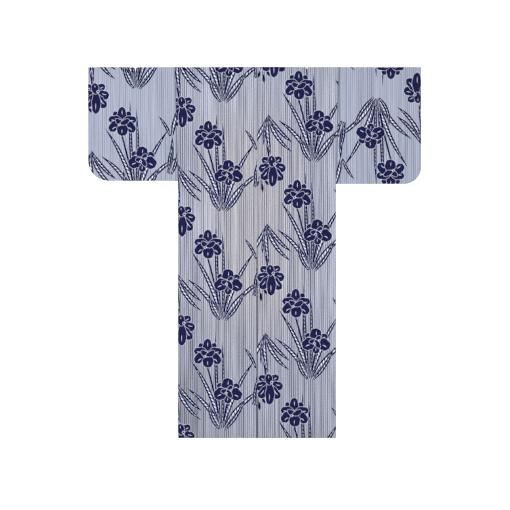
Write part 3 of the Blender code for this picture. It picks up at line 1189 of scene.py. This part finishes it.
COLLAR_FOOT = (20.0, 120.0, 1.0)
COLLAR_SHELL = 1.4
feet = repeated(*COLLAR_FOOT, 0.0, float(STATION_UPS[-1]))
pieces["collar"] = cloth_piece(
    "collar_band", collar_rows(), feet, lambda up: LATTICE_HIDDEN, collar_place,
    thickness=COLLAR_SHELL, flip=True)

# %% [markdown]
# ## Stitches
#
# A yukata is sewn by hand. Hems and sleeve openings are blind stitched: the thread runs inside
# the fold and shows outside only as a short dash every centimetre or so. Each dash is a small
# six-sided bead of thread half sunk into the cloth, and all dashes of one seam are one mesh.

# %% Stitches
DASH_LENGTH = 2.6
DASH_RADIUS = 0.32
DASH_SPACING = 11.5
needle = random.Random(12)


def thread_material():
    made, tree, shader = new_material("cotton_thread")
    place = Strand.node(tree, "ShaderNodeTexCoord", out=3)
    x, y, _ = apart(place)
    plies = abs(((x + y) * 2500.0).part() - 0.5)
    shade = patchy(place, 400.0) * 0.5 + plies * 0.5
    colour = shade.pick((0.16, 0.17, 0.24, 1.0), (0.34, 0.35, 0.42, 1.0))
    tree.links.new(colour.socket, shader.inputs["Base Color"])
    bump = plies.then(
        "ShaderNodeBump", sockets={"Strength": 0.4, "Distance": 0.0001, "Height": plies})
    tree.links.new(bump.socket, shader.inputs["Normal"])
    shader.inputs["Roughness"].default_value = 0.8
    return made


THREAD = thread_material()


def dash(points, faces, middle, along, side, normal):
    """Add one bead of thread: six sides, thin ends and a round middle."""
    first = len(points)
    for share, swell in ((-0.5, 0.25), (-0.25, 0.9), (0.25, 0.9), (0.5, 0.25)):
        for corner in range(6):
            angle = corner * math.pi / 3
            offset = side * (math.cos(angle) * DASH_RADIUS * swell)
            offset = offset + normal * (math.sin(angle) * DASH_RADIUS * swell)
            points.append(tuple((middle + along * (share * DASH_LENGTH) + offset) * MM))
    for ring in range(3):
        for corner in range(6):
            a = first + ring * 6 + corner
            b = first + ring * 6 + (corner + 1) % 6
            faces.append((a, b, b + 6, a + 6))
    faces.append(tuple(first + corner for corner in range(5, -1, -1)))
    faces.append(tuple(first + 18 + corner for corner in range(6)))


def stitched(name, place, lines):
    """Dashes along lines on a flat panel. Each line is (start, end)."""
    points = []
    faces = []
    for (x0, up0), (x1, up1) in lines:
        size = math.hypot(x1 - x0, up1 - up0)
        count = max(int(size / DASH_SPACING), 1)
        for k in range(count):
            share = (k + 0.5 + needle.uniform(-0.16, 0.16)) / count
            off = needle.uniform(-0.35, 0.35)
            x = x0 + (x1 - x0) * share - (up1 - up0) / size * off
            up = up0 + (up1 - up0) * share + (x1 - x0) / size * off
            near = np.array([x, x + 0.5, x])
            far = np.array([up, up, up + 0.5])
            spots = np.stack(place(near, far, np.full(3, 50.0)), axis=1)
            right = Vector(spots[1] - spots[0]).normalized()
            upward = Vector(spots[2] - spots[0]).normalized()
            normal = right.cross(upward).normalized()
            along = (right * (x1 - x0) + upward * (up1 - up0)).normalized()
            middle = Vector(spots[0]) + Vector((*ROW_SHIFT, 0.0)) + normal * 0.12
            dash(points, faces, middle, along, along.cross(normal), normal)
    mesh = bpy.data.meshes.new(name)
    mesh.from_pydata(points, [], faces)
    mesh.polygons.foreach_set("use_smooth", [True] * len(mesh.polygons))
    piece = placed_piece(name, mesh, THREAD)
    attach(piece, "root")
    print(name, len(faces) // 20, "dashes")
    return piece


HEM_STITCH = 11.0             # distance of the stitch line from a folded edge
stitches = {name: [] for name in pieces}
for side in SIGN:
    sign = SIGN[side]
    outer = BACK_HALF - 5.0
    stitches["body_" + side] = [
        stitched(side + "_back_hem_stitches", body_place(side), [
            ((sign * 5.0, -LENGTH + HEM_STITCH), (sign * outer, -LENGTH + HEM_STITCH))]),
        stitched(side + "_front_hem_stitches", body_place(side), [
            ((sign * 66.0, LENGTH - HEM_STITCH), (sign * outer, LENGTH - HEM_STITCH))])]
    cuff = sign * (SLEEVE_REACH[side] - HEM_STITCH)
    down = SLEEVE_DROP[side] - SLEEVE_CORNER[side] - 20.0
    stitches["sleeve_" + side] = [
        stitched(side + "_cuff_stitches", sleeve_place(side), [
            ((cuff, -down), (cuff, -12.0)), ((cuff, 12.0), (cuff, down))])]
    free = -sign * (OVERLAP - HEM_STITCH)
    stitches["okumi_" + side] = [
        stitched(side + "_overlap_stitches", overlap_place(side), [
            ((free, LENGTH - COLLAR_END + 8.0), (free, LENGTH - 14.0)),
            ((free, LENGTH - HEM_STITCH - 2.0), (sign * 54.0, LENGTH - HEM_STITCH - 2.0))])]

# %% [markdown]
# ## Attaching the cloth
#
# Every panel rides with the garment, and the CAD node that it stands for is hidden.

# %% Sheets
for node, (piece, area) in pieces.items():
    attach(piece, "root")
    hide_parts(node)

# %% [markdown]
# ## Floor and light
#
# The picture is a plain white one with almost no shadow. A large soft light overhead gives the
# even look, a second one low from the upper left draws the creases, and a pale world fills the
# rest. The floor is bright enough to reach white, so it carries no tone of its own.

# %% Floor and light
def floor_material():
    made, _, shader = new_material("pale_floor")
    shader.inputs["Base Color"].default_value = (0.93, 0.93, 0.93, 1.0)
    shader.inputs["Roughness"].default_value = 0.95
    shader.inputs["Specular IOR Level"].default_value = 0.0
    return made


FLOOR_HALF = 9.0
FLOOR_DROP = 0.0004           # the floor lies this far under the cloth


def floor_plane():
    mesh = bpy.data.meshes.new("floor")
    corners = [(FLOOR_HALF * x, FLOOR_HALF * y, -FLOOR_DROP)
               for x, y in ((-1, -1), (1, -1), (1, 1), (-1, 1))]
    mesh.from_pydata(corners, [], [(0, 1, 2, 3)])
    piece = placed_piece("floor", mesh, floor_material())
    return piece


def soft_light(name, place, size, power):
    """A round soft light that points at the origin."""
    data = bpy.data.lights.new(name, "AREA")
    data.shape = "DISK"
    data.size = size
    data.energy = power
    light = bpy.data.objects.new(name, data)
    light.location = place
    light.rotation_euler = (-Vector(place)).to_track_quat("-Z", "Y").to_euler()
    scene.collection.objects.link(light)


floor_plane()
soft_light("overhead_light", (-0.20, 0.05, 3.6), 2.6, 165.0)
soft_light("crease_light", (-2.7, 2.5, 1.0), 1.2, 30.0)
world = bpy.data.worlds.new("pale_room")
world.use_nodes = True
background = world.node_tree.nodes["Background"]
background.inputs["Color"].default_value = (0.98, 0.99, 1.0, 1.0)
background.inputs["Strength"].default_value = 0.55
scene.world = world
scene.view_settings.view_transform = "Standard"
scene.view_settings.look = "None"
scene.view_settings.exposure = 0.0
